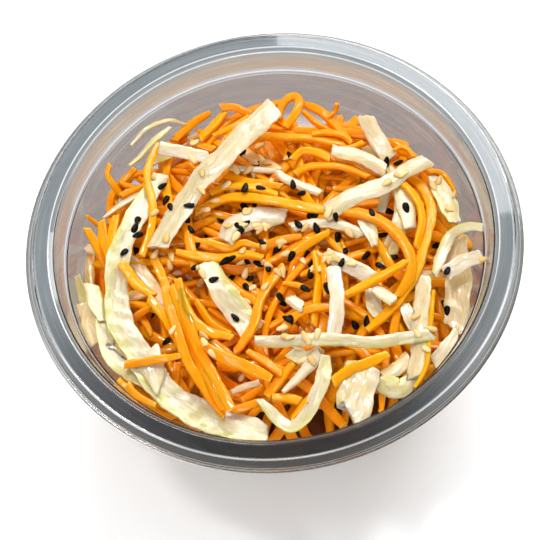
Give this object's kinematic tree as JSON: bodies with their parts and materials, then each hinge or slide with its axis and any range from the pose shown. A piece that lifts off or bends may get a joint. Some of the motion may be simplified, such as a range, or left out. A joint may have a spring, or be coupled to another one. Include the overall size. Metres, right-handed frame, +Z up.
{
  "type": "bowl of coleslaw",
  "caption": "Round clear plastic salad bowl with a rolled rim, filled with shredded carrot and cabbage slaw under black and white sesame seeds.",
  "frame": {"origin": "middle of the foot ring, on the surface that the bowl stands on", "axes": "+Z up through the open top, -Y towards the side the heap is viewed from"},
  "size_m": [0.142, 0.142, 0.058],
  "materials": {
    "bowl": "clear, glossy, faintly smoky formed sheet",
    "slaw": "moist shredded vegetables seen in the depth of the heap",
    "carrot": "moist orange carrot, finely grained along each shred",
    "cabbage": "moist ivory to pale green cabbage with lengthwise veins",
    "sesame_black": "satin black seed coat",
    "sesame_white": "satin cream seed coat"
  },
  "bodies": {
    "root": {"bowl": "bowl", "slaw": "slaw"}
  },
  "joints": []
}
